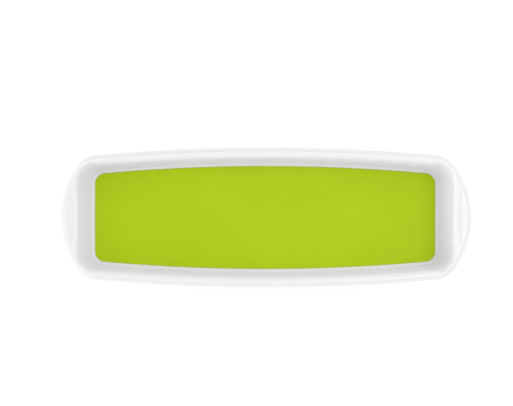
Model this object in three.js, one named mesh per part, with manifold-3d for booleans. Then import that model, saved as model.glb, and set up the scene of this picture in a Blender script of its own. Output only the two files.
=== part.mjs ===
// A long open desk tray: a glossy white moulding with bowed sides and a dished handle at each end,
// a lime green panel let into its floor, and four soft feet in sockets under its base.
//
// Millimetres, +Z up. +X runs along the tray. The origin is on the table, under the middle of the tray.

import * as THREE from 'three';
import { LoftGeometry } from 'three/addons/geometries/LoftGeometry.js';
import { mergeVertices } from 'three/addons/utils/BufferGeometryUtils.js';
import Module from 'manifold-3d';

// Overall size
const TRAY_LENGTH = 307;
const TRAY_WIDTH = 104;
const TRAY_HEIGHT = 55;

// Rim outline, seen from above
const SIDE_BOW_RADIUS = 1450;
const HANDLE_RADIUS = 66;
const RIM_CORNER_RADIUS = 18;

// Rim section, from the outer edge inwards
const LIP_RADIUS = 1.2;
const LIP_WIDTH = 2.2;
const LIP_STEP = 0.9;
const LIP_STEP_SLOPE = 0.3;
const BAND_EDGE_RADIUS = 0.3;
const BAND_LAND = 0.2;
const RIM_WIDTH = 7.55;
const RIM_THICKNESS = 2.2;
const SKIRT_DROP = 7;
const SKIRT_WALL = 2;
const SKIRT_TAPER = 0.3;

// Crown of the rim over the long walls: a land, a slight fall, then a quarter ellipse down into the tray
const CROWN_LAND = 0.35;
const CROWN_FALL = 0.05;
const CROWN_DROP = 5;

// Handles: a thumb dish lies between the lip and the raised crease at the top of the straight end wall
const HANDLE_REACH = 12.9;
const DISH_DEPTH = 2.6;
const CREASE_RISE = 0.9;
const CREASE_RADIUS = 1.5;

// Flare of the four corners, where the roll reaches far down the wall and the back of the wall moves out
const MOUTH_CORNER_RADIUS = 16;
const FLARE_DROP = 24;
const FLARE_BACK = 1.4;

// Where the fall of the dish ends and the rise to the crease starts, as shares of the way to the crease
const DISH_END = 0.8;
const RISE_START = 0.6;

// Walls and floor
const WALL_THICKNESS = 2.2;
const SIDE_DRAFT = 0.93;
const END_DRAFT = 3.02;
const INNER_FOOT_RADIUS = 2.4;
const OUTER_FOOT_RADIUS = 4;
const FLOOR_CORNER_RADIUS = 8.9;
const FLOOR_THICKNESS = 2.2;

// Green panel and the pocket that holds it
const PANEL_THICKNESS = 1.4;
const POCKET_DEPTH = 1.1;
const POCKET_LAND = 0.2;
const PANEL_GAP = 0.3;
const PANEL_EDGE_RADIUS = 0.35;

// Feet
const FOOT_DIAMETER = 10;
const FOOT_THICKNESS = 1.8;
const FOOT_EDGE_RADIUS = 0.5;
const SOCKET_DEPTH = 0.8;
const SOCKET_GAP = 0.3;
const FOOT_FROM_END = 18;
const FOOT_FROM_SIDE = 14;

// Facets
const END_STEPS = 7;
const CORNER_STEPS = 9;
const SIDE_STEPS = 11;
const DISH_STEPS = 8;
const CROWN_STEPS = 5;
const UNDERSIDE_STEPS = 3;
const ROUND_STEPS = 3;
const FOOT_SEGMENTS = 32;

// Heights that follow from the sizes above
const baseZ = FOOT_THICKNESS - SOCKET_DEPTH;
const pocketZ = baseZ + FLOOR_THICKNESS;
const floorZ = pocketZ + POCKET_DEPTH;
const wallFootZ = floorZ + INNER_FOOT_RADIUS;

// The centre of the bow that all long edges share, so that they run parallel
const bowCentreY = TRAY_WIDTH / 2 - SIDE_BOW_RADIUS;

// How far a cutting form runs past the face that it opens
const CUT_PAST = 1;

const quarterTurn = Math.PI / 2;
const { clamp, degToRad, lerp, smoothstep } = THREE.MathUtils;

// The corner arc of a barrel touches the side arc from inside, and the end arc or the straight end line.
function cornerCentre(halfLength, sideRadius, cornerRadius, endRadius) {
  const toBow = sideRadius - cornerRadius;
  if (endRadius === Infinity) {
    const x = halfLength - cornerRadius;
    return new THREE.Vector2(x, bowCentreY + Math.sqrt(toBow ** 2 - x ** 2));
  }
  const endCentre = new THREE.Vector2(halfLength - endRadius, 0);
  const toEnd = endRadius - cornerRadius;
  const axis = new THREE.Vector2(0, bowCentreY).sub(endCentre);
  const span = axis.length();
  axis.normalize();
  const along = (toEnd ** 2 - toBow ** 2 + span ** 2) / (2 * span);
  const across = Math.sqrt(toEnd ** 2 - along ** 2);
  return endCentre.addScaledVector(axis, along).add(new THREE.Vector2(-axis.y, axis.x).multiplyScalar(across));
}

// An outline is a function that says how far inside itself a point lies. A barrel has bowed sides,
// round corners and ends that are either straight or arcs. It is the same in all four quarters.
function barrel({ halfLength, halfWidth, cornerRadius, endRadius = Infinity }) {
  const sideRadius = halfWidth - bowCentreY;
  const corner = cornerCentre(halfLength, sideRadius, cornerRadius, endRadius);
  const endTurn = endRadius === Infinity ? 0 : Math.atan2(corner.y, corner.x - halfLength + endRadius);
  const sideTurn = Math.atan2(corner.y - bowCentreY, corner.x);
  const depth = (pointX, pointY) => {
    const x = Math.abs(pointX);
    const y = Math.abs(pointY);
    const turn = Math.atan2(y - corner.y, x - corner.x);
    if (turn > sideTurn) return sideRadius - Math.hypot(x, y - bowCentreY);
    if (turn > endTurn) return cornerRadius - Math.hypot(x - corner.x, y - corner.y);
    if (endRadius === Infinity) return halfLength - x;
    return endRadius - Math.hypot(x - halfLength + endRadius, y);
  };
  return { depth, corner, sideTurn, sideRadius, halfLength, cornerRadius };
}

const rim = barrel({
  halfLength: TRAY_LENGTH / 2,
  halfWidth: TRAY_WIDTH / 2,
  cornerRadius: RIM_CORNER_RADIUS,
  endRadius: HANDLE_RADIUS,
});

// The mouth of the tray is where the straight walls end, seen from above.
const mouthHalfLength = TRAY_LENGTH / 2 - HANDLE_REACH;
const mouthHalfWidth = TRAY_WIDTH / 2 - RIM_WIDTH;
const mouth = barrel({
  halfLength: mouthHalfLength,
  halfWidth: mouthHalfWidth,
  cornerRadius: MOUTH_CORNER_RADIUS,
});

// The draft of the walls brings the outline in towards the floor.
const sideWallHeight = TRAY_HEIGHT - CROWN_FALL - CROWN_DROP - wallFootZ;
const endWallHeight = TRAY_HEIGHT - DISH_DEPTH + CREASE_RISE - CREASE_RADIUS - wallFootZ;
const wallFoot = barrel({
  halfLength: mouthHalfLength - endWallHeight * Math.tan(degToRad(END_DRAFT)),
  halfWidth: mouthHalfWidth - sideWallHeight * Math.tan(degToRad(SIDE_DRAFT)),
  cornerRadius: FLOOR_CORNER_RADIUS + INNER_FOOT_RADIUS,
});

// A station is a ray that starts on the wall foot and points outwards. All rings share the stations.
// Stepping by the depth that is left closes in on an outline within a few dozen rounds.
const REACH_ROUNDS = 60;

function station(x, y, towards) {
  const reach = (outline, inset) => {
    let distance = 0;
    for (let i = 0; i < REACH_ROUNDS; i++) {
      distance += outline.depth(x + distance * towards.x, y + distance * towards.y) - inset;
    }
    return distance;
  };
  const point = (distance, z) => new THREE.Vector3(x + distance * towards.x, y + distance * towards.y, z);
  return { x, y, towards, reach, point };
}

function mirrored({ x, y, towards }, flipX, flipY) {
  return station(x * flipX, y * flipY, new THREE.Vector2(towards.x * flipX, towards.y * flipY));
}

function quarterStations({ corner, sideTurn, sideRadius, halfLength, cornerRadius }) {
  const quarter = [];
  for (let i = 0; i < END_STEPS; i++) {
    quarter.push(station(halfLength, (corner.y * i) / END_STEPS, new THREE.Vector2(1, 0)));
  }
  for (let i = 0; i < CORNER_STEPS; i++) {
    const turn = (sideTurn * i) / CORNER_STEPS;
    const towards = new THREE.Vector2(Math.cos(turn), Math.sin(turn));
    quarter.push(station(corner.x + cornerRadius * towards.x, corner.y + cornerRadius * towards.y, towards));
  }
  for (let i = 0; i <= SIDE_STEPS; i++) {
    const turn = lerp(sideTurn, quarterTurn, i / SIDE_STEPS);
    const towards = new THREE.Vector2(Math.cos(turn), Math.sin(turn));
    quarter.push(station(sideRadius * towards.x, bowCentreY + sideRadius * towards.y, towards));
  }
  return quarter;
}

// Once round the tray, anticlockwise from the middle of the +X end
function roundStations(outline) {
  const quarter = quarterStations(outline);
  const half = [...quarter, ...quarter.slice(0, -1).reverse().map((s) => mirrored(s, -1, 1))];
  return [...half, ...half.slice(1, -1).reverse().map((s) => mirrored(s, 1, -1))];
}

const stations = roundStations(wallFoot);

// The top of the rim at each station, from the lip to the edge of the mouth. Its sizes blend from the crowned
// long walls to the dished handles by how wide it is there, and to the flared corners by direction.
const bandInset = LIP_WIDTH + LIP_STEP_SLOPE + BAND_EDGE_RADIUS;
const topWidth = (s) => s.reach(rim, bandInset + BAND_LAND) - s.reach(mouth, 0);
const sideWidth = RIM_WIDTH - bandInset - BAND_LAND;
const handleWidth = topWidth(stations[0]);

function crownAt(s) {
  const start = s.reach(rim, bandInset + BAND_LAND);
  const edge = s.reach(mouth, 0);
  const handle = smoothstep(topWidth(s), sideWidth, handleWidth);
  const flare = smoothstep(2 * Math.abs(s.towards.x * s.towards.y), 0, 1);
  const dish = lerp(CROWN_FALL, DISH_DEPTH, handle);
  const rise = CREASE_RISE * handle;
  const rollWidth = lerp(topWidth(s) - CROWN_LAND, CREASE_RADIUS, handle);
  const rollDrop = lerp(lerp(CROWN_DROP, CREASE_RADIUS, handle), FLARE_DROP, flare);
  const crease = edge + rollWidth;
  const creaseZ = TRAY_HEIGHT - dish + rise;
  const back = edge + WALL_THICKNESS;
  const backTop = back + FLARE_BACK * flare;

  // Height at a distance along the station's ray: down into the dish, up to the crease, over the roll
  const height = (distance) => {
    const share = (start - distance) / (start - crease);
    const fall = dish * smoothstep(share, 0, DISH_END) - rise * smoothstep(share, RISE_START, 1);
    const sine = clamp((crease - distance) / rollWidth, 0, 1);
    return TRAY_HEIGHT - fall - rollDrop * (1 - Math.sqrt(1 - sine ** 2));
  };
  return { start, edge, crease, creaseZ, rollWidth, rollDrop, back, backTop, height };
}

for (const s of stations) {
  s.crown = crownAt(s);
}

// One ring of a loft. The distance is a function of the station, and the height is one too or a number.
function ring(distance, height) {
  return stations.map((s) => s.point(distance(s), typeof height === 'function' ? height(s) : height));
}

// Rings of a quarter round, whose functions take the turn made so far
function quarterRound(steps, distanceAt, heightAt) {
  const rings = [];
  for (let i = 1; i <= steps; i++) {
    const turn = (quarterTurn * i) / steps;
    rings.push(ring(distanceAt(turn), heightAt(turn)));
  }
  return rings;
}

// Outside of the moulding, carried from the underside up the outer wall, round the skirt and over the lip.
// Its end cap is the level plane of the rim's top.
function outsideSections() {
  const skirtZ = TRAY_HEIGHT - SKIRT_DROP;
  const lipZ = TRAY_HEIGHT - LIP_STEP;
  const skirtInside = (s) => s.reach(rim, SKIRT_WALL);

  // The underside of the rim follows its top from the outer wall to the skirt.
  const underside = [];
  for (let i = 1; i < UNDERSIDE_STEPS; i++) {
    const distance = (s) => lerp(s.crown.backTop, skirtInside(s), i / UNDERSIDE_STEPS);
    underside.push(ring(distance, (s) => s.crown.height(distance(s)) - RIM_THICKNESS));
  }

  return [
    // Underside and outer wall
    ring((s) => s.reach(wallFoot, OUTER_FOOT_RADIUS - WALL_THICKNESS), baseZ),
    ...quarterRound(
      ROUND_STEPS,
      (turn) => (s) => s.reach(wallFoot, OUTER_FOOT_RADIUS * (1 - Math.sin(turn)) - WALL_THICKNESS),
      (turn) => baseZ + OUTER_FOOT_RADIUS * (1 - Math.cos(turn)),
    ),
    ring(({ crown }) => crown.back, ({ crown }) => crown.creaseZ - crown.rollDrop - RIM_THICKNESS),
    ring(({ crown }) => crown.backTop, ({ crown }) => crown.creaseZ - RIM_THICKNESS),

    // Underside of the rim and the skirt
    ...underside,
    ring(skirtInside, TRAY_HEIGHT - RIM_THICKNESS),
    ring(skirtInside, skirtZ),
    ring((s) => s.reach(rim, SKIRT_TAPER), skirtZ),

    // Rounded lip and the step up to the band
    ring((s) => s.reach(rim, 0), lipZ - LIP_RADIUS),
    ...quarterRound(
      ROUND_STEPS,
      (turn) => (s) => s.reach(rim, LIP_RADIUS * (1 - Math.cos(turn))),
      (turn) => lipZ - LIP_RADIUS * (1 - Math.sin(turn)),
    ),
    ring((s) => s.reach(rim, LIP_WIDTH), lipZ),
    ring((s) => s.reach(rim, LIP_WIDTH + LIP_STEP_SLOPE), TRAY_HEIGHT - BAND_EDGE_RADIUS),
    ring((s) => s.reach(rim, bandInset), TRAY_HEIGHT),
  ];
}

// The hollow of the tray, carried from the pocket floor up the inner wall, over the roll of the mouth and the
// top of the rim to the lip, and past the top so that it cuts clean through
function hollowSections() {
  const pocketEdge = (s) => s.reach(wallFoot, INNER_FOOT_RADIUS + POCKET_LAND);

  // Over the roll the rings turn evenly, each on the height of the rim's top there.
  const roll = [];
  for (let i = 1; i <= CROWN_STEPS; i++) {
    const turn = (quarterTurn * i) / CROWN_STEPS;
    const distance = ({ crown }) => crown.crease - crown.rollWidth * Math.cos(turn);
    roll.push(ring(distance, (s) => s.crown.height(distance(s))));
  }

  const rimTop = [];
  for (let i = DISH_STEPS - 1; i >= 0; i--) {
    const distance = (s) => lerp(s.crown.start, s.crown.crease, i / DISH_STEPS);
    rimTop.push(ring(distance, (s) => s.crown.height(distance(s))));
  }

  return [
    // Pocket for the green panel and the round foot of the wall
    ring(pocketEdge, pocketZ),
    ring(pocketEdge, floorZ),
    ring((s) => s.reach(wallFoot, INNER_FOOT_RADIUS), floorZ),
    ...quarterRound(
      ROUND_STEPS,
      (turn) => (s) => s.reach(wallFoot, INNER_FOOT_RADIUS * (1 - Math.sin(turn))),
      (turn) => wallFootZ - INNER_FOOT_RADIUS * Math.cos(turn),
    ),

    // Inner wall and the roll at its top
    ring(({ crown }) => crown.edge, ({ crown }) => crown.creaseZ - crown.rollDrop),
    ...roll,

    // Crown or thumb dish, from the crease out to the lip
    ...rimTop,
    ring((s) => s.crown.start, TRAY_HEIGHT + CUT_PAST),
  ];
}

function panelSections() {
  const inset = INNER_FOOT_RADIUS + POCKET_LAND + PANEL_GAP;
  const shoulderZ = pocketZ + PANEL_THICKNESS - PANEL_EDGE_RADIUS;
  return [
    ring((s) => s.reach(wallFoot, inset), pocketZ),
    ring((s) => s.reach(wallFoot, inset), shoulderZ),
    ...quarterRound(
      ROUND_STEPS,
      (turn) => (s) => s.reach(wallFoot, inset + PANEL_EDGE_RADIUS * (1 - Math.cos(turn))),
      (turn) => shoulderZ + PANEL_EDGE_RADIUS * Math.sin(turn),
    ),
  ];
}

const wasm = await Module();
wasm.setup();

// A closed geometry as a solid for booleans, and the way back
function toSolid(geometry) {
  const bare = new THREE.BufferGeometry().copy(geometry);
  bare.deleteAttribute('normal');
  bare.deleteAttribute('uv');
  const merged = mergeVertices(bare);
  return new wasm.Manifold(
    new wasm.Mesh({
      numProp: 3,
      vertProperties: new Float32Array(merged.attributes.position.array),
      triVerts: new Uint32Array(merged.index.array),
    }),
  );
}

function toGeometry(solid) {
  const mesh = solid.getMesh();
  const geometry = new THREE.BufferGeometry();
  geometry.setAttribute('position', new THREE.BufferAttribute(mesh.vertProperties, mesh.numProp));
  geometry.setIndex(new THREE.BufferAttribute(mesh.triVerts, 1));
  geometry.computeVertexNormals();
  return geometry;
}

// Feet and sockets share their places: four points drawn in from the ends and sides of the base
const footX = wallFoot.halfLength - FOOT_FROM_END;
const footY = bowCentreY + Math.sqrt(wallFoot.sideRadius ** 2 - footX ** 2) - FOOT_FROM_SIDE;
const footPlaces = [
  { name: 'foot_front_left', x: -footX, y: -footY },
  { name: 'foot_front_right', x: footX, y: -footY },
  { name: 'foot_rear_left', x: -footX, y: footY },
  { name: 'foot_rear_right', x: footX, y: footY },
];

function footGeometry() {
  const radius = FOOT_DIAMETER / 2;
  const edge = new THREE.Path();
  edge.moveTo(0, 0);
  edge.lineTo(radius - FOOT_EDGE_RADIUS, 0);
  edge.absarc(radius - FOOT_EDGE_RADIUS, FOOT_EDGE_RADIUS, FOOT_EDGE_RADIUS, -quarterTurn, 0);
  edge.lineTo(radius, FOOT_THICKNESS);
  edge.lineTo(0, FOOT_THICKNESS);
  return new THREE.LatheGeometry(edge.getPoints(ROUND_STEPS), FOOT_SEGMENTS).rotateX(quarterTurn);
}

function trayGeometry() {
  const capped = { capStart: true, capEnd: true };
  const outside = toSolid(new LoftGeometry(outsideSections(), capped));
  let solid = outside.subtract(toSolid(new LoftGeometry(hollowSections(), capped)));
  const socketRadius = FOOT_DIAMETER / 2 + SOCKET_GAP;
  for (const { x, y } of footPlaces) {
    const socket = new THREE.CylinderGeometry(socketRadius, socketRadius, 2 * SOCKET_DEPTH, FOOT_SEGMENTS);
    socket.rotateX(quarterTurn).translate(x, y, baseZ);
    solid = solid.subtract(toSolid(socket));
  }
  return toGeometry(solid);
}

const whitePlastic = new THREE.MeshStandardMaterial({ color: 0xf4f5f5, roughness: 0.22, metalness: 0 });
const greenPlastic = new THREE.MeshStandardMaterial({ color: 0xaecb20, roughness: 0.45, metalness: 0 });
const clearRubber = new THREE.MeshStandardMaterial({ color: 0xd9dcdc, roughness: 0.7, metalness: 0 });

function named(name, geometry, material) {
  const mesh = new THREE.Mesh(geometry, material.clone());
  mesh.name = name;
  return mesh;
}

const tray = new THREE.Group();
tray.add(named('outer_tray', trayGeometry(), whitePlastic));
tray.add(named('floor_insert', new LoftGeometry(panelSections(), { capStart: true, capEnd: true }), greenPlastic));
for (const { name, x, y } of footPlaces) {
  const foot = named(name, footGeometry(), clearRubber);
  foot.position.set(x, y, 0);
  tray.add(foot);
}

export default tray;
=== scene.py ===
# %% [markdown]
# A glossy white desk tray with a lime green floor
#
# The real thing is one white injection moulding, a green panel let into its floor and four soft feet.
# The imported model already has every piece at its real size. This lesson gives each piece the fine
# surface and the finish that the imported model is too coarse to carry, and never moves or resizes
# anything. Everything is in metres. +X runs along the tray, +Z is up, and the table is at height zero.

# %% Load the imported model
import math
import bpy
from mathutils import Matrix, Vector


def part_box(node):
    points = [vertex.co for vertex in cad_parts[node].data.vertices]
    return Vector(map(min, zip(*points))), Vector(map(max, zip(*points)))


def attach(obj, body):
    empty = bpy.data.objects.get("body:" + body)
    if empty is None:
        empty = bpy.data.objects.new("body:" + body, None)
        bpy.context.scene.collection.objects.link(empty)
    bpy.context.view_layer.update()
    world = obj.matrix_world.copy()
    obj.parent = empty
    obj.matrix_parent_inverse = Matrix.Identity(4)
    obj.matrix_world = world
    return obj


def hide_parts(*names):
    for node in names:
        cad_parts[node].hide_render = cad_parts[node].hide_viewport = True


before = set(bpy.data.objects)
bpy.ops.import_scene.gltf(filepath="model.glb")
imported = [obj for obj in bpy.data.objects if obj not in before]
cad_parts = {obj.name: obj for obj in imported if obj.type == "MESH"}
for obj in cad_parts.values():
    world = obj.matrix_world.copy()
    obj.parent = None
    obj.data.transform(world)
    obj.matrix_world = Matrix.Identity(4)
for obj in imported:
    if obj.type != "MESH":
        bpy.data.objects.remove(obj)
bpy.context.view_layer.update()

from types import SimpleNamespace

import bmesh
import bpy
import numpy as np
from mathutils import Vector
from mathutils.geometry import tessellate_polygon

MM = 0.001
BODY = "root"


def node_box(node):
    """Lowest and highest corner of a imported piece, as arrays."""
    low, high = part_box(node)
    return np.array(low), np.array(high)


# %% [markdown]
# The camera
#
# The photograph looks straight down on the tray. A camera that looks straight down needs no turn in
# Blender: an unturned camera looks along -Z with +Y at the top of the picture. Its lens follows from
# one fact, how many picture elements the rim spans from handle to handle at its height above the table.
# The tray lies a little below the middle of the picture although both long walls look equally wide, so
# that offset is a lens shift.

# %% The camera
PICTURE_WIDTH = 513
PICTURE_HEIGHT = 406
RIM_SPAN_PIXELS = 411.7
RIM_CENTRE_PIXELS = (265.75, 217.5)
CAMERA_HEIGHT = 0.8
SENSOR_WIDTH = 36.0

tray_low, tray_high = node_box("outer_tray")
TRAY_LENGTH, TRAY_WIDTH = (tray_high - tray_low)[:2]
TRAY_TOP = tray_high[2]
BASE_Z = tray_low[2]

pixel_at_rim = TRAY_LENGTH / RIM_SPAN_PIXELS
focal_pixels = (CAMERA_HEIGHT - TRAY_TOP) / pixel_at_rim

camera_data = bpy.data.cameras.new("camera")
camera_data.sensor_width = SENSOR_WIDTH
camera_data.lens = focal_pixels / PICTURE_WIDTH * SENSOR_WIDTH
camera_data.shift_y = (RIM_CENTRE_PIXELS[1] - PICTURE_HEIGHT / 2) / PICTURE_WIDTH
camera = bpy.data.objects.new("camera", camera_data)
camera.location = ((PICTURE_WIDTH / 2 - RIM_CENTRE_PIXELS[0]) * pixel_at_rim, 0, CAMERA_HEIGHT)
bpy.context.scene.collection.objects.link(camera)
bpy.context.scene.camera = camera
print(f"lens {camera_data.lens:.1f} mm, camera at {tuple(round(v, 4) for v in camera.location)}")

# %% [markdown]
# Outlines that run parallel
#
# Seen from above, the rim is a barrel: two long sides with a slight bow, two bulging ends and four
# round corners. An outline could be a curve object, but then an inner edge that has to run parallel to
# it would need an offset tool. Here an outline is a function that says how far inside it a point lies,
# so every parallel edge is simply all the points at one depth. All the long edges share the centre of
# the rim's bow.

# %% Outlines
SIDE_BOW_RADIUS = 1450 * MM
BOW_CENTRE_Y = TRAY_WIDTH / 2 - SIDE_BOW_RADIUS


def corner_centre(half_length, side_radius, corner_radius, end_radius):
    """Centre of the corner arc. It lies a side radius less a corner radius from the centre of the bow, and
    an end radius less a corner radius from the centre of the end, where two circles cross. With a straight
    end it lies a corner radius inside the end line."""
    to_bow = side_radius - corner_radius
    if math.isinf(end_radius):
        x = half_length - corner_radius
        return np.array([x, BOW_CENTRE_Y + math.sqrt(to_bow**2 - x**2)])
    end_centre = np.array([half_length - end_radius, 0.0])
    to_end = end_radius - corner_radius
    axis = np.array([0.0, BOW_CENTRE_Y]) - end_centre
    span = np.linalg.norm(axis)
    axis /= span
    along = (to_end**2 - to_bow**2 + span**2) / (2 * span)
    across = math.sqrt(to_end**2 - along**2)
    return end_centre + along * axis + across * np.array([-axis[1], axis[0]])


def barrel(half_length, half_width, corner_radius, end_radius=math.inf):
    """A barrel outline. Its depth at a point is the radius of the side, corner or end arc that the point
    faces, less the distance to that arc's centre, or before a straight end the distance to the end line.
    The turn about the corner's centre says which of them the point faces."""
    side_radius = half_width - BOW_CENTRE_Y
    corner = corner_centre(half_length, side_radius, corner_radius, end_radius)
    straight = math.isinf(end_radius)
    end_turn = 0.0 if straight else math.atan2(corner[1], corner[0] - half_length + end_radius)
    side_turn = math.atan2(corner[1] - BOW_CENTRE_Y, corner[0])

    def depth(x, y):
        x, y = np.abs(x), np.abs(y)
        turn = np.arctan2(y - corner[1], x - corner[0])
        side = side_radius - np.hypot(x, y - BOW_CENTRE_Y)
        round_corner = corner_radius - np.hypot(x - corner[0], y - corner[1])
        end = half_length - x if straight else end_radius - np.hypot(x - half_length + end_radius, y)
        return np.where(turn > side_turn, side, np.where(turn > end_turn, round_corner, end))

    return SimpleNamespace(
        depth=depth, corner=corner, side_turn=side_turn, side_radius=side_radius,
        half_length=half_length, corner_radius=corner_radius,
    )


print(f"the long sides bow about a point {-BOW_CENTRE_Y:.3f} m behind the middle of the tray")

# %% [markdown]
# Three outlines carry the whole tray: the outer edge of the rim, the mouth where the inner walls begin,
# and the foot of those walls. The first two have the sizes that the photograph shows. The third follows
# from the mouth by the draft, the slight slope that lets a moulding slide out of its mould. The ends
# slope more than the sides.

# %% The three outlines of the tray
HANDLE_RADIUS = 66 * MM
RIM_CORNER_RADIUS = 18 * MM
RIM_WIDTH = 7.55 * MM
CROWN_FALL = 0.05 * MM
CROWN_DROP = 5 * MM
HANDLE_REACH = 12.9 * MM
DISH_DEPTH = 2.6 * MM
CREASE_RISE = 0.9 * MM
CREASE_RADIUS = 2.5 * MM
MOUTH_CORNER_RADIUS = 16 * MM
POCKET_DEPTH = 1.1 * MM
INNER_FOOT_RADIUS = 2.4 * MM
FLOOR_CORNER_RADIUS = 8.9 * MM
SIDE_DRAFT = math.radians(0.93)
END_DRAFT = math.radians(3.02)

panel_low, panel_high = node_box("floor_insert")
POCKET_Z = panel_low[2]
FLOOR_Z = POCKET_Z + POCKET_DEPTH
WALL_FOOT_Z = FLOOR_Z + INNER_FOOT_RADIUS

rim = barrel(TRAY_LENGTH / 2, TRAY_WIDTH / 2, RIM_CORNER_RADIUS, HANDLE_RADIUS)
mouth_half_length = TRAY_LENGTH / 2 - HANDLE_REACH
mouth = barrel(mouth_half_length, TRAY_WIDTH / 2 - RIM_WIDTH, MOUTH_CORNER_RADIUS)
side_wall_height = TRAY_TOP - CROWN_FALL - CROWN_DROP - WALL_FOOT_Z
end_wall_height = TRAY_TOP - DISH_DEPTH + CREASE_RISE - CREASE_RADIUS - WALL_FOOT_Z
wall_foot = barrel(
    mouth_half_length - end_wall_height * math.tan(END_DRAFT),
    TRAY_WIDTH / 2 - RIM_WIDTH - side_wall_height * math.tan(SIDE_DRAFT),
    FLOOR_CORNER_RADIUS + INNER_FOOT_RADIUS,
)
print(f"wall foot half length {wall_foot.half_length / MM:.2f} mm")

# %% [markdown]
# Stations round the tray
#
# Every ring of the tray has the same number of points, one on each of a few hundred rays that fan
# outwards from the foot of the wall. Where a ray meets an outline is found by stepping along it by the
# depth that is left, which closes in quickly because the depth is a true distance. All the rays step at
# once, as arrays.

# %% Stations
END_STEPS = 20
CORNER_STEPS = 28
SIDE_STEPS = 56
REACH_ROUNDS = 60


def unit(turn):
    """Unit vectors at these turns from +X towards +Y."""
    return np.stack([np.cos(turn), np.sin(turn)], axis=-1)


def quarter_stations(outline):
    """Starts and directions over a quarter: along the straight end, round the corner arc, along the bow."""
    end_y = outline.corner[1] * np.arange(END_STEPS) / END_STEPS
    end_start = np.stack([np.full(END_STEPS, outline.half_length), end_y], axis=-1)
    end_towards = np.tile([1.0, 0.0], (END_STEPS, 1))
    corner_towards = unit(outline.side_turn * np.arange(CORNER_STEPS) / CORNER_STEPS)
    side_towards = unit(np.linspace(outline.side_turn, math.pi / 2, SIDE_STEPS + 1))
    corner_start = outline.corner + outline.corner_radius * corner_towards
    side_start = [0.0, BOW_CENTRE_Y] + outline.side_radius * side_towards
    starts = np.concatenate([end_start, corner_start, side_start])
    return starts, np.concatenate([end_towards, corner_towards, side_towards])


def all_round(quarter):
    """A quarter and its three mirror images, anticlockwise, with the shared points on the axes kept once."""
    half = np.concatenate([quarter, quarter[-2::-1] * [-1, 1]])
    return np.concatenate([half, half[-2:0:-1] * [1, -1]])


STARTS, TOWARDS = (all_round(part) for part in quarter_stations(wall_foot))


def reach(depth, inset):
    """Distance along each ray to where the depth inside an outline equals the inset."""
    distance = np.zeros(len(STARTS))
    for _ in range(REACH_ROUNDS):
        x, y = (STARTS + distance[:, None] * TOWARDS).T
        distance += depth(x, y) - inset
    return distance


print("stations", len(STARTS))

# %% [markdown]
# A profile with rounded corners
#
# A moulding has no sharp edges, because a mould has none. A Bevel modifier could round them, but it
# needs every edge marked and it fails where the edges crowd together at the handles. Here the section
# of the tray is a chain of corners, and each corner is replaced by a conic arc, the curve that gives a
# true circle where the two cuts are equal and an ellipse where they differ. Close to each arc a
# supporting ring keeps the flats flat. It lies a fixed distance from the arc, within limits that are
# shares of the flat.

# %% Rounded profile
ARC_STEPS = 6
LEG_RINGS = 3
LEG_FILL = 0.98
SUPPORT = 0.15 * MM
SUPPORT_SHARES = (0.02, 0.25)
TINY = 1e-12


def turn_at(before, at, after):
    """How far the profile turns at a corner, as an angle, from the directions of its two legs."""
    come = at - before
    go = after - at
    sizes = np.linalg.norm(come, axis=-1) * np.linalg.norm(go, axis=-1)
    cosine = (come * go).sum(-1) / np.maximum(sizes, TINY)
    return np.arccos(np.clip(cosine, -1, 1))


def conic_arc(start, corner, end, turn):
    """Rational quadratic curve from start to end with its handle at the corner. The handle's weight is the
    cosine of half the turn, which makes a circle of it when both cuts are equal."""
    u = np.linspace(0, 1, ARC_STEPS + 1)[:, None, None]
    weight = np.cos(turn / 2)[None, :, None]
    pull = 2 * u * (1 - u) * weight
    return ((1 - u) ** 2 * start + pull * corner + u**2 * end) / ((1 - u) ** 2 + pull + u**2)


def rounded_profile(corners):
    """Rings of distance and height from corners of (distance, height, radius). The cut at a corner is its
    radius times the tangent of half its turn. A leg that is too short for its two cuts scales both down."""
    every_ray = np.zeros(len(STARTS))
    points = np.stack([np.stack([every_ray + d, every_ray + z], axis=-1) for d, z, _ in corners])
    radii = np.array([radius for _, _, radius in corners[1:-1]])[:, None]
    turns = turn_at(points[:-2], points[1:-1], points[2:])
    legs = np.linalg.norm(np.diff(points, axis=0), axis=-1)
    along = np.diff(points, axis=0) / np.maximum(legs, TINY)[..., None]

    cuts = np.zeros(points.shape[:2])
    cuts[1:-1] = radii * np.tan(turns / 2)
    room = legs / np.maximum(cuts[:-1] + cuts[1:], TINY)
    shrink = np.minimum(room * LEG_FILL, 1)
    leg_starts = points[:-1] + along * (cuts[:-1] * shrink)[..., None]
    leg_ends = points[1:] - along * (cuts[1:] * shrink)[..., None]

    free = np.linalg.norm(leg_ends - leg_starts, axis=-1)
    near = np.clip(SUPPORT / np.maximum(free, TINY), *SUPPORT_SHARES)[..., None]
    share = np.linspace(0, 1, LEG_RINGS)[:, None, None]
    rings = [points[:1]]
    for k, corner in enumerate(points[1:-1]):
        rings.append(leg_starts[k] + (near[k] + share * (1 - 2 * near[k])) * (leg_ends[k] - leg_starts[k]))
        rings.append(conic_arc(leg_ends[k], corner, leg_starts[k + 1], turns[k]))
    rings.append(points[-1:])
    return np.concatenate(rings)


def on_stations(profile):
    """Vertices, ring by ring, of a profile of distance and height carried round the stations."""
    distance, height = profile[..., 0], profile[..., 1]
    flat = STARTS[None] + distance[..., None] * TOWARDS[None]
    return np.concatenate([flat, height[..., None]], axis=-1)


print(f"a rounded corner has {ARC_STEPS + 1} rings, and the leg before it {LEG_RINGS}")

# %% [markdown]
# From arrays to a mesh
#
# A grid of points becomes quads by index arithmetic. Parts that share an edge are welded where their
# points coincide, and the result is tested: a closed mesh with its faces outwards has a positive volume
# and no edge with other than two faces. Smooth shading blends the normals over every edge, which would
# smear the edge of a hole across the flat face round it. So an edge that turns by more than a third of
# a right angle stays sharp. The rounded corners of the profiles turn by less than that from face to
# face.

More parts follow.
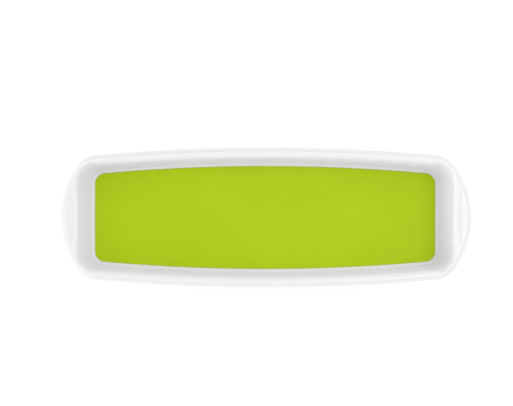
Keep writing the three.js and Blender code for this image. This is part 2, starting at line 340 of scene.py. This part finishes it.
# %% Mesh helpers
SHARP_TURN = math.radians(30)
WELD_DISTANCE = 1e-7
CUBIC_CM = 1e-6


def grid_quads(rings, columns):
    """Quads of a grid that closes on itself along the columns."""
    ring = np.arange(rings - 1)[:, None] * columns
    column = np.arange(columns)[None]
    nextcol = (column + 1) % columns
    corners = [ring + column, ring + nextcol, ring + columns + nextcol, ring + columns + column]
    return np.stack(corners, axis=-1).reshape(-1, 4)


def make_piece(name, parts):
    """One welded mesh object from (vertices, faces) parts. It prints whether the mesh is closed."""
    vertices = []
    faces = []
    offset = 0
    for points, polygons in parts:
        vertices.append(np.asarray(points).reshape(-1, 3))
        faces += (np.asarray(polygons) + offset).tolist()
        offset += len(vertices[-1])
    mesh = bpy.data.meshes.new(name)
    mesh.from_pydata(np.concatenate(vertices).tolist(), [], faces)
    solid = bmesh.new()
    solid.from_mesh(mesh)
    bmesh.ops.remove_doubles(solid, verts=solid.verts, dist=WELD_DISTANCE)
    bmesh.ops.dissolve_degenerate(solid, edges=solid.edges, dist=WELD_DISTANCE)
    open_edges = sum(len(edge.link_faces) != 2 for edge in solid.edges)
    volume = solid.calc_volume() / CUBIC_CM
    print(f"{name}: {len(solid.faces)} faces, {open_edges} open edges, {volume:.2f} cm3")
    solid.to_mesh(mesh)
    solid.free()
    mesh.shade_smooth()
    mesh.set_sharp_from_angle(angle=SHARP_TURN)
    piece = bpy.data.objects.new(name, mesh)
    bpy.context.scene.collection.objects.link(piece)
    return piece


print(f"edges that turn by more than {math.degrees(SHARP_TURN):.0f} degrees stay sharp")

# %% [markdown]
# Two kinds of surface don't come as a closed band of quads. A flat face with holes in it is filled with
# triangles by Blender's own tessellation, which takes the outer loop and the loops of the holes. A
# round hole or a foot is a profile turned about its own axis, and it closes there on a single point.

# %% Flat faces and turned surfaces
def flat_cap(outer, holes, upwards):
    """Points of a flat loop and its holes, and the triangles between them, as arrays."""
    loops = [outer, *holes]
    triangles = np.array(tessellate_polygon([loop.tolist() for loop in loops]))
    points = np.concatenate(loops)
    first, second, third = points[triangles.T]
    rising = np.cross(second - first, third - first)[:, 2] > 0
    triangles[rising != upwards] = triangles[rising != upwards][:, ::-1]
    return points, triangles


def revolved(centre, profile, columns):
    """A profile of (radius, height) that ends on a vertical axis, turned clockwise about it, so that the
    faces round the axis look down. The last ring is closed by a fan of triangles."""
    turn = -2 * math.pi * np.arange(columns) / columns
    radius, height = np.array(profile[:-1]).T
    x = centre[0] + radius[:, None] * np.cos(turn)
    y = centre[1] + radius[:, None] * np.sin(turn)
    z = np.broadcast_to(height[:, None], x.shape)
    points = np.stack([x, y, z], axis=-1).reshape(-1, 3)
    tip = np.array([[centre[0], centre[1], profile[-1][1]]])
    rings = len(radius)
    last = (rings - 1) * columns
    column = np.arange(columns)
    nextcol = (column + 1) % columns
    fan = np.stack([last + column, last + nextcol, np.full(columns, rings * columns)], axis=-1)
    return [(points, grid_quads(rings, columns)), (np.concatenate([points, tip]), fan)]


# %% [markdown]
# The white moulding
#
# Over the long walls the rim is crowned: it rolls down into the tray in a quarter of an ellipse. At the
# handles it first sinks into a dish for the thumb, rises again a little and then rolls over a tight
# crease into the end wall. Both are one surface, two smooth steps followed by a quarter ellipse, whose
# sizes blend along the rim by how wide the rim is there. In the four corners the roll reaches far down
# the wall, so that each corner flares out. How far it reaches follows the sine of twice the turn of the
# ray, which is one at the middle of a corner and zero along the sides and ends.

# %% Top surface of the rim
LIP_WIDTH = 2.2 * MM
LIP_STEP_SLOPE = 0.3 * MM
BAND_EDGE_RADIUS = 0.3 * MM
BAND_LAND = 0.2 * MM
CROWN_LAND = 0.35 * MM
FLARE_DROP = 24 * MM
DISH_END = 0.8
RISE_START = 0.6
DISH_RINGS = 20
CROWN_RINGS = 12

band_start = reach(rim.depth, LIP_WIDTH + LIP_STEP_SLOPE + BAND_EDGE_RADIUS + BAND_LAND)
mouth_edge = reach(mouth.depth, 0)
top_width = band_start - mouth_edge
side_width = RIM_WIDTH - LIP_WIDTH - LIP_STEP_SLOPE - BAND_EDGE_RADIUS - BAND_LAND


def smooth_step(share):
    """Zero to one with level ends: three times the square less twice the cube."""
    share = np.clip(share, 0, 1)
    return share**2 * (3 - 2 * share)


def blend(low, high, share):
    """A straight mix of two sizes."""
    return low + (high - low) * share


handle = smooth_step((top_width - side_width) / (top_width.max() - side_width))
flare = smooth_step(2 * np.abs(TOWARDS[:, 0] * TOWARDS[:, 1]))
dish = blend(CROWN_FALL, DISH_DEPTH, handle)
rise = CREASE_RISE * handle
roll_width = blend(top_width - CROWN_LAND, CREASE_RADIUS, handle)
roll_drop = blend(blend(CROWN_DROP, CREASE_RADIUS, handle), FLARE_DROP, flare)
crease = mouth_edge + roll_width
crease_z = TRAY_TOP - dish + rise


def rim_height(distance):
    """Height of the rim: the top, less a smooth step down into the dish, plus one up to the crease, less a
    quarter ellipse over the roll."""
    share = (band_start - distance) / (band_start - crease)
    sine = np.clip((crease - distance) / roll_width, 0, 1)
    sink = dish * smooth_step(share / DISH_END)
    climb = rise * smooth_step((share - RISE_START) / (1 - RISE_START))
    return TRAY_TOP - (sink - climb) - roll_drop * (1 - np.sqrt(1 - sine**2))


def rim_top():
    """Rings of distance and height from the band's edge to the wall. The dish has even steps, and the roll
    has even turns, so that it ends upright."""
    share = np.linspace(0, 1, DISH_RINGS)[:, None]
    turn = np.linspace(0, math.pi / 2, CROWN_RINGS)[1:, None]
    over_dish = blend(band_start, crease, share)
    over_roll = crease - roll_width * np.sin(turn)
    distance = np.concatenate([over_dish, over_roll])
    return np.stack([distance, rim_height(distance)], axis=-1)


print(f"rim top {top_width.min() / MM:.2f} to {top_width.max() / MM:.2f} mm wide")

# %% [markdown]
# The rest of the section is two chains of corners. The outer one starts under the base, climbs the
# outer wall, follows the underside of the rim one thickness below its upper side, goes down and up
# round the skirt and over the lip. A hair-fine groove at the foot of the lip's step draws the thin dark
# line that runs round the whole rim. The inner chain goes down the inner wall and round its foot into
# the pocket.

# %% Section of the moulding
WALL_THICKNESS = 2.2 * MM
FLARE_BACK = 1.4 * MM
OUTER_FOOT_RADIUS = 4 * MM
BASE_BORDER = 2 * OUTER_FOOT_RADIUS - WALL_THICKNESS
RIM_THICKNESS = 2.2 * MM
INSIDE_EDGE_RADIUS = 0.8 * MM
UNDERSIDE_RADIUS = 3 * INSIDE_EDGE_RADIUS
SKIRT_DROP = 7 * MM
SKIRT_WALL = 2 * MM
SKIRT_TAPER = 0.3 * MM
SKIRT_EDGE = 0.4 * MM
LIP_RADIUS = 1.2 * MM
LIP_STEP = 0.9 * MM
LIP_GROOVE = 0.24 * MM
LIP_GROOVE_EDGE = 1.5 * LIP_GROOVE
LIP_GROOVE_EDGE_RADIUS = LIP_GROOVE / 3
LIP_GROOVE_BED = 0.5 * LIP_GROOVE
LIP_GROOVE_BED_RADIUS = LIP_GROOVE / 4
POCKET_LAND = 0.45 * MM
POCKET_EDGE_RADIUS = 0.12 * MM

outer_wall = mouth_edge + WALL_THICKNESS
outer_wall_top = outer_wall + FLARE_BACK * flare
skirt_inside = reach(rim.depth, SKIRT_WALL)
skirt_z = TRAY_TOP - SKIRT_DROP
lip_z = TRAY_TOP - LIP_STEP
pocket_edge = reach(wall_foot.depth, INNER_FOOT_RADIUS + POCKET_LAND)


def under_rim(share):
    """A corner of the underside, this share of the way from the wall to the skirt."""
    distance = blend(outer_wall_top, skirt_inside, share)
    return (distance, rim_height(distance) - RIM_THICKNESS, UNDERSIDE_RADIUS)


outer_chain = [
    (reach(wall_foot.depth, BASE_BORDER), BASE_Z, 0),
    (reach(wall_foot.depth, -WALL_THICKNESS), BASE_Z, OUTER_FOOT_RADIUS),
    (outer_wall, crease_z - roll_drop - RIM_THICKNESS, INSIDE_EDGE_RADIUS),
    (outer_wall_top, crease_z - RIM_THICKNESS, INSIDE_EDGE_RADIUS),
    under_rim(1 / 3),
    under_rim(2 / 3),
    (skirt_inside, TRAY_TOP - RIM_THICKNESS, INSIDE_EDGE_RADIUS),
    (skirt_inside, skirt_z, SKIRT_EDGE),
    (reach(rim.depth, SKIRT_TAPER), skirt_z, SKIRT_EDGE),
    (reach(rim.depth, 0), lip_z, LIP_RADIUS),
    (reach(rim.depth, LIP_WIDTH - LIP_GROOVE_EDGE), lip_z, LIP_GROOVE_EDGE_RADIUS),
    (reach(rim.depth, LIP_WIDTH - LIP_GROOVE_BED), lip_z - LIP_GROOVE, LIP_GROOVE_BED_RADIUS),
    (reach(rim.depth, LIP_WIDTH + LIP_STEP_SLOPE), TRAY_TOP, BAND_EDGE_RADIUS),
    (band_start, TRAY_TOP, 0),
]
inner_chain = [
    (mouth_edge, crease_z - roll_drop, 0),
    (reach(wall_foot.depth, 0), FLOOR_Z, INNER_FOOT_RADIUS),
    (pocket_edge, FLOOR_Z, POCKET_EDGE_RADIUS),
    (pocket_edge, POCKET_Z, 0),
]
profile = np.concatenate([rounded_profile(outer_chain), rim_top()[1:], rounded_profile(inner_chain)[1:]])
tray_rings = on_stations(profile)
print("rings", len(tray_rings), "dish", round(dish.max() / MM, 2), "mm deep")

# %% [markdown]
# The underside is a flat cap with holes in it: four round sockets for the feet and the shallow round
# dimple in the middle where the plastic was injected, with the stub of the sprue cut off inside it.
# Each hole is a small turned surface that meets the cap at its edge. The dimple and its stub are given
# as points of two shares, one of the radius and one of the depth or height, so that they keep their
# form when a size changes.

# %% Underside and the finished moulding
SOCKET_COLUMNS = 48
SOCKET_DEPTH = 0.8 * MM
SOCKET_GAP = 0.3 * MM
SOCKET_SUPPORT = 0.95
GATE_RADIUS = 5 * MM
GATE_DEPTH = 0.5 * MM
GATE_SHARES = [(1, 0), (0.94, 0.5), (0.84, 0.9), (0.7, 1)]
STUB_RADIUS = 1.1 * MM
STUB_HEIGHT = 0.35 * MM
STUB_SHARES = [(1.3, 0), (1, 0.3), (0.9, 1), (0, 1)]

FEET = ["foot_front_left", "foot_front_right", "foot_rear_left", "foot_rear_right"]


def middle_of(node):
    """Centre of a node's footprint."""
    low, high = node_box(node)
    return (low + high)[:2] / 2


foot_low, foot_high = node_box(FEET[0])
FOOT_RADIUS = (foot_high - foot_low)[0] / 2
socket_radius = FOOT_RADIUS + SOCKET_GAP
socket_z = BASE_Z + SOCKET_DEPTH
socket_profile = [
    (socket_radius, BASE_Z),
    (socket_radius, socket_z),
    (socket_radius * SOCKET_SUPPORT, socket_z),
    (0, socket_z),
]
gate_z = BASE_Z + GATE_DEPTH
gate_profile = [(GATE_RADIUS * across, BASE_Z + GATE_DEPTH * up) for across, up in GATE_SHARES]
gate_profile += [(STUB_RADIUS * across, gate_z - STUB_HEIGHT * down) for across, down in STUB_SHARES]
holes = [revolved(middle_of(name), socket_profile, SOCKET_COLUMNS) for name in FEET]
holes.append(revolved((0, 0), gate_profile, SOCKET_COLUMNS))
hole_edges = [hole[0][0][:SOCKET_COLUMNS] for hole in holes]

columns = len(STARTS)
moulding_parts = [
    (tray_rings, grid_quads(len(tray_rings), columns)),
    flat_cap(tray_rings[0], hole_edges, upwards=False),
    flat_cap(tray_rings[-1], [], upwards=True),
]
moulding_parts += [part for hole in holes for part in hole]
moulding = make_piece("white_moulding", moulding_parts)
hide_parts("outer_tray")
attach(moulding, BODY)

# %% [markdown]
# The green floor panel
#
# The panel is a flat plate with the outline of the pocket and a softly broken upper edge. It is the
# same kind of section as the moulding, carried round the same rays, so its gap to the pocket is even
# all the way round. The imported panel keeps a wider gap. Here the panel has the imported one's outline,
# and the pocket closes in on it, so that the white land between the panel and the foot of the wall is
# wider by what the gap loses.

# %% Green floor panel
PANEL_EDGE_RADIUS = 0.15 * MM
PANEL_GAP = 0.05 * MM
PANEL_BORDER = 0.6 * MM
PANEL_TOP = panel_high[2]

panel_edge = reach(wall_foot.depth, INNER_FOOT_RADIUS + POCKET_LAND + PANEL_GAP)
panel_chain = [
    (panel_edge - PANEL_BORDER, POCKET_Z, 0),
    (panel_edge, POCKET_Z, POCKET_EDGE_RADIUS),
    (panel_edge, PANEL_TOP, PANEL_EDGE_RADIUS),
    (panel_edge - PANEL_BORDER, PANEL_TOP, 0),
]
panel_rings = on_stations(rounded_profile(panel_chain))
panel_parts = [
    (panel_rings, grid_quads(len(panel_rings), columns)),
    flat_cap(panel_rings[0], [], upwards=False),
    flat_cap(panel_rings[-1], [], upwards=True),
]
panel = make_piece("green_panel", panel_parts)
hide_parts("floor_insert")
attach(panel, BODY)
print(f"panel half length {panel_rings[..., 0].max() / MM:.2f} mm, packed {panel_high[0] / MM:.2f} mm")

# %% [markdown]
# The feet
#
# Each foot is a turned pad of soft rubber with a rounded rim. Two shallow grooves in its sole give it
# grip. All four share one profile of radius and height, turned about the centre of the node that each
# replaces.

# %% Feet
FOOT_THICKNESS = foot_high[2] - foot_low[2]
FOOT_EDGE_RADIUS = 0.5 * MM
FOOT_EDGE_POINTS = 7
FOOT_COLUMNS = 64
GROOVE_DEPTH = 0.15 * MM
GROOVE_WIDTH = 0.35 * MM
GROOVE_PLACES = (0.7, 0.4)


def groove(radius):
    """A groove with sloping sides across the sole, from the outside in."""
    half = GROOVE_WIDTH / 2
    return [
        (radius + half, 0),
        (radius + half / 2, GROOVE_DEPTH),
        (radius - half / 2, GROOVE_DEPTH),
        (radius - half, 0),
    ]


rounding = np.linspace(0, math.pi / 2, FOOT_EDGE_POINTS)
edge_radius = FOOT_RADIUS - FOOT_EDGE_RADIUS * (1 - np.cos(rounding))
edge_height = FOOT_EDGE_RADIUS * (1 - np.sin(rounding))
sole_profile = [(FOOT_RADIUS, FOOT_THICKNESS), *zip(edge_radius, edge_height)]
sole_profile += [point for place in GROOVE_PLACES for point in groove(FOOT_RADIUS * place)]
sole_profile.append((0, 0))

feet = []
for name in FEET:
    sole = revolved(middle_of(name), sole_profile, FOOT_COLUMNS)
    top_edge = sole[0][0][:FOOT_COLUMNS]
    foot = make_piece(name.replace("foot", "soft_foot"), [*sole, flat_cap(top_edge, [], upwards=True)])
    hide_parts(name)
    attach(foot, BODY)
    feet.append(foot)

# %% [markdown]
# Finishes
#
# Every finish starts from one Principled BSDF. What is the same all over is set on its own sockets.
# What varies comes from noise in Object coordinates, so it stays with the piece from every side. A few
# helpers keep the finishes short: each adds one node, fills its inputs and hands on its output. The Mix
# node has a set of sockets for each kind of data, so the ones for colours go by number.

# %% Material helpers
MIX_FIRST = 6
MIX_SECOND = 7
MIX_RESULT = 2


def set_inputs(node, inputs):
    """Fills inputs of a node by name or number: a socket is wired, and any other value is set."""
    for key, value in inputs.items():
        if isinstance(value, bpy.types.NodeSocket):
            node.id_data.links.new(value, node.inputs[key])
        else:
            node.inputs[key].default_value = value


def node_adder(tree):
    """A function that adds a node to this tree, with its settings and inputs."""

    def add(kind, inputs=None, **settings):
        node = tree.nodes.new(kind)
        for key, value in settings.items():
            setattr(node, key, value)
        set_inputs(node, inputs or {})
        return node

    return add


def new_material(name):
    """A material, its Principled BSDF and the function that adds nodes to it."""
    material = bpy.data.materials.new(name)
    material.use_nodes = True
    return material, material.node_tree.nodes["Principled BSDF"], node_adder(material.node_tree)


def noise(add, place, scale, detail):
    """A noise of about one feature per 1/scale metres."""
    return add("ShaderNodeTexNoise", {"Vector": place, "Scale": scale, "Detail": detail}).outputs["Fac"]


def spread(add, value, low, high, from_low=0.35, from_high=0.65):
    """Maps a value from its own range, as a rule the middle of a noise, to the range from low to high."""
    inputs = {"Value": value, "From Min": from_low, "From Max": from_high, "To Min": low, "To Max": high}
    return add("ShaderNodeMapRange", inputs).outputs["Result"]


def mixed(add, share, first, second):
    """A mix of two colours, the share of the second given."""
    inputs = {"Factor": share, MIX_FIRST: first, MIX_SECOND: second}
    return add("ShaderNodeMix", inputs, data_type="RGBA").outputs[MIX_RESULT]


def maths(add, operation, first, second):
    """One operation on two numbers or sockets."""
    return add("ShaderNodeMath", {0: first, 1: second}, operation=operation).outputs[0]


def bump(add, height, strength, distance, over=None):
    """A bump this many metres high where the height is one, laid over another if given."""
    inputs = {"Height": height, "Strength": strength, "Distance": distance}
    if over is not None:
        inputs["Normal"] = over
    return add("ShaderNodeBump", inputs).outputs[0]


# %% [markdown]
# Glossy white ABS
#
# New white ABS has a soft gloss with a slight orange peel: waves a few millimetres long and a few
# thousandths of a millimetre high, which make reflections swim. The gloss is a little uneven where the
# moulding cooled slower, and fine hairlines from handling catch the light. The white drifts by about a
# hundredth from place to place. Some light enters the plastic and comes out a millimetre or two away,
# which softens the shading. A sharper gloss was tried and given up: below a roughness of about 0.28 the
# denoiser takes the finish for a mirror where the view grazes it, and leaves streaks on the long walls.
# The lowest value here is 0.29.

# %% Glossy white plastic
WHITES = ((0.906, 0.91, 0.91, 1), (0.921, 0.922, 0.92, 1))
WHITE_ROUGHNESS = (0.29, 0.34)
LIGHT_WANDERS = 2 * MM
HAIRLINE_ROUGHNESS = (0, 0.04)
HAIRLINE_NOISE = (0.62, 0.7)
HAIRLINE_TURN = 0.4
HAIRLINE_STRETCH = 18
PEEL_HEIGHT = 0.02 * MM
MOULD_GRAIN_HEIGHT = 0.004 * MM

white, shader, add = new_material("gloss_white_abs")
place = add("ShaderNodeTexCoord").outputs["Object"]
drift = spread(add, noise(add, place, scale=18, detail=3), 0, 1)
cloud = spread(add, noise(add, place, scale=60, detail=4), *WHITE_ROUGHNESS)
stretch = {"Vector": place, "Rotation": (0, 0, HAIRLINE_TURN), "Scale": (1, HAIRLINE_STRETCH, 1)}
stretched = add("ShaderNodeMapping", stretch).outputs["Vector"]
hairs = spread(add, noise(add, stretched, scale=170, detail=2), *HAIRLINE_ROUGHNESS, *HAIRLINE_NOISE)
peel = bump(add, noise(add, place, scale=320, detail=1.5), strength=0.35, distance=PEEL_HEIGHT)
fine = noise(add, place, scale=2400, detail=2)
grain = bump(add, fine, strength=0.25, distance=MOULD_GRAIN_HEIGHT, over=peel)
white_finish = {
    "Base Color": mixed(add, drift, *WHITES),
    "Roughness": maths(add, "ADD", cloud, hairs),
    "Normal": grain,
    "IOR": 1.5,
    "Specular IOR Level": 0.4,
    "Subsurface Weight": 0.4,
    "Subsurface Radius": (1, 1, 1),
    "Subsurface Scale": LIGHT_WANDERS,
}
set_inputs(shader, white_finish)
moulding.data.materials.append(white)
print(f"{white.name}: {len(white.node_tree.nodes)} nodes")

# %% [markdown]
# Satin green plastic
#
# The panel was moulded against a finely blasted steel face, so it has a close grain that turns a sharp
# reflection into a soft sheen. Its lime colour drifts very slightly from place to place, as a
# masterbatch colour does, and small rubbed spots are a touch smoother than the rest. A saturated floor
# would throw green light on the walls, but these walls stay white with only a hint of it. So the light
# that leaves the panel for the walls is made nearly grey, except over the last few millimetres, where
# the foot of the wall keeps a tinge of green. That is a choice of looks: seen directly, the panel is
# green all over.

# %% Satin green plastic
GREENS = ((0.482, 0.67, 0.005, 1), (0.502, 0.69, 0.007, 1))
GREEN_ROUGHNESS = (0.5, 0.58)
PALE_GREEN = (0.8, 0.802, 0.79, 1)
TINGE_FROM = 1 * MM
TINGE_TO = 8 * MM
BLAST_SCALE = 2600
BLAST_HEIGHT = 0.01 * MM

green, shader, add = new_material("satin_lime_abs")
place = add("ShaderNodeTexCoord").outputs["Object"]
drift = spread(add, noise(add, place, scale=22, detail=3), 0, 1)
path = add("ShaderNodeLightPath").outputs
bounced = maths(add, "MAXIMUM", path["Is Diffuse Ray"], path["Is Glossy Ray"])
away = spread(add, path["Ray Length"], 0, 1, TINGE_FROM, TINGE_TO)
paleness = maths(add, "MULTIPLY", bounced, away)
blast = add("ShaderNodeTexVoronoi", {"Vector": place, "Scale": BLAST_SCALE}).outputs["Distance"]
blasted = maths(add, "ADD", blast, noise(add, place, scale=900, detail=3))
green_finish = {
    "Base Color": mixed(add, paleness, mixed(add, drift, *GREENS), PALE_GREEN),
    "Roughness": spread(add, noise(add, place, scale=45, detail=4), *GREEN_ROUGHNESS),
    "Normal": bump(add, blasted, strength=0.3, distance=BLAST_HEIGHT),
    "IOR": 1.5,
    "Specular IOR Level": 0.15,
}
set_inputs(shader, green_finish)
panel.data.materials.append(green)
print(f"{green.name}: {len(green.node_tree.nodes)} nodes")

# %% [markdown]
# Soft rubber
#
# The feet are a pale clear-looking rubber, dull and a little dusty, with a trace of light passing into
# it. Dust is the lighter of its two colours and lies in flecks of a few millimetres.

# %% Soft rubber
RUBBERS = ((0.56, 0.58, 0.58, 1), (0.68, 0.69, 0.68, 1))
RUBBER_ROUGHNESS = (0.5, 0.68)
SKIN_HEIGHT = 0.03 * MM

rubber, shader, add = new_material("soft_clear_rubber")
place = add("ShaderNodeTexCoord").outputs["Object"]
dust = spread(add, noise(add, place, scale=400, detail=4), 0, 1)
rubber_finish = {
    "Base Color": mixed(add, dust, *RUBBERS),
    "Roughness": spread(add, noise(add, place, scale=700, detail=3), *RUBBER_ROUGHNESS),
    "Normal": bump(add, noise(add, place, scale=1800, detail=3), strength=0.3, distance=SKIN_HEIGHT),
    "IOR": 1.45,
    "Subsurface Weight": 0.15,
    "Subsurface Scale": LIGHT_WANDERS,
}
set_inputs(shader, rubber_finish)
for foot in feet:
    foot.data.materials.append(rubber)
print(f"{rubber.name}: {len(rubber.node_tree.nodes)} nodes on {len(feet)} feet")

# %% [markdown]
# The table
#
# The tray stands on a table that looks white. The table itself is a middle grey, so that it sends
# little light up onto the outer walls and they stand out from the white. It adds light of its own for
# the camera and for mirror-like rays only, which turns it paper white, and it still takes the tray's
# shadow. A camera below the table sees through it, so that the feet and the underside show. For that
# view the table also lets light through onto what the camera sees just above it: a ray of the first
# bounce that is no longer than twice the gap under the tray.

# %% Table
TABLE_SIZE = 8.0
TABLE_GREY = 0.5
TABLE_GLOW = 0.58
TABLE_ROUGHNESS = 0.9
GAP_REACH = 2 * BASE_Z
AFTER_FIRST_BOUNCE = 1.5


def seen_directly(add):
    """One for camera, glossy and transmission rays, and zero for the diffuse rays that light the object."""
    path = add("ShaderNodeLightPath").outputs
    mirror = maths(add, "MAXIMUM", path["Is Camera Ray"], path["Is Glossy Ray"])
    return maths(add, "MAXIMUM", mirror, path["Is Transmission Ray"])


half = TABLE_SIZE / 2
table_corners = [(-half, -half, 0), (half, -half, 0), (half, half, 0), (-half, half, 0)]
table_mesh = bpy.data.meshes.new("table")
table_mesh.from_pydata(table_corners, [], [(0, 1, 2, 3)])
table = bpy.data.objects.new("table", table_mesh)
bpy.context.scene.collection.objects.link(table)

paper, shader, add = new_material("white_table")
path = add("ShaderNodeLightPath").outputs
short = maths(add, "LESS_THAN", path["Ray Length"], GAP_REACH)
first = maths(add, "LESS_THAN", path["Ray Depth"], AFTER_FIRST_BOUNCE)
from_below = add("ShaderNodeNewGeometry").outputs["Backfacing"]
open_to = maths(add, "MAXIMUM", from_below, maths(add, "MULTIPLY", short, first))
table_finish = {
    "Base Color": (TABLE_GREY, TABLE_GREY, TABLE_GREY, 1),
    "Roughness": TABLE_ROUGHNESS,
    "Emission Color": (1, 1, 1, 1),
    "Emission Strength": maths(add, "MULTIPLY", seen_directly(add), TABLE_GLOW),
    "Alpha": maths(add, "SUBTRACT", 1.0, open_to),
}
set_inputs(shader, table_finish)
table_mesh.materials.append(paper)
print(f"table {TABLE_SIZE} m wide, open to first bounces shorter than {GAP_REACH / MM:.1f} mm")

# %% [markdown]
# The light
#
# An even white surround gives most of the light. The camera and mirror-like rays see it at full white,
# and the object is lit by a little less. A soft panel above the right-hand end leaves a slightly darker
# strip of floor beside the end wall that shades it. A second soft panel, far to the left and just above
# the table, shines over the left-hand rim onto the upper part of the right-hand end wall.

# %% Surround and lamps
SURROUND = 0.85

world = bpy.data.worlds.new("surround")
world.use_nodes = True
bpy.context.scene.world = world
add = node_adder(world.node_tree)
strength = spread(add, seen_directly(add), SURROUND, 1, from_low=0, from_high=1)
set_inputs(world.node_tree.nodes["Background"], {"Color": (1, 1, 1, 1), "Strength": strength})


def soft_lamp(name, place, size, watts):
    """A square area lamp that faces the middle of the tray."""
    data = bpy.data.lights.new(name, "AREA")
    data.shape = "SQUARE"
    data.size = size
    data.energy = watts
    lamp = bpy.data.objects.new(name, data)
    lamp.location = place
    lamp.rotation_euler = (-Vector(place)).to_track_quat("-Z", "Y").to_euler()
    bpy.context.scene.collection.objects.link(lamp)
    print(f"{name}: {watts} W, {Vector(place).length:.2f} m from the tray")


soft_lamp("overhead_panel", place=(0.4, 0.1, 1.25), size=0.4, watts=1.8)
soft_lamp("low_panel", place=(-1.5, -0.3, 0.17), size=0.3, watts=6)
bpy.context.scene.view_settings.view_transform = "Standard"
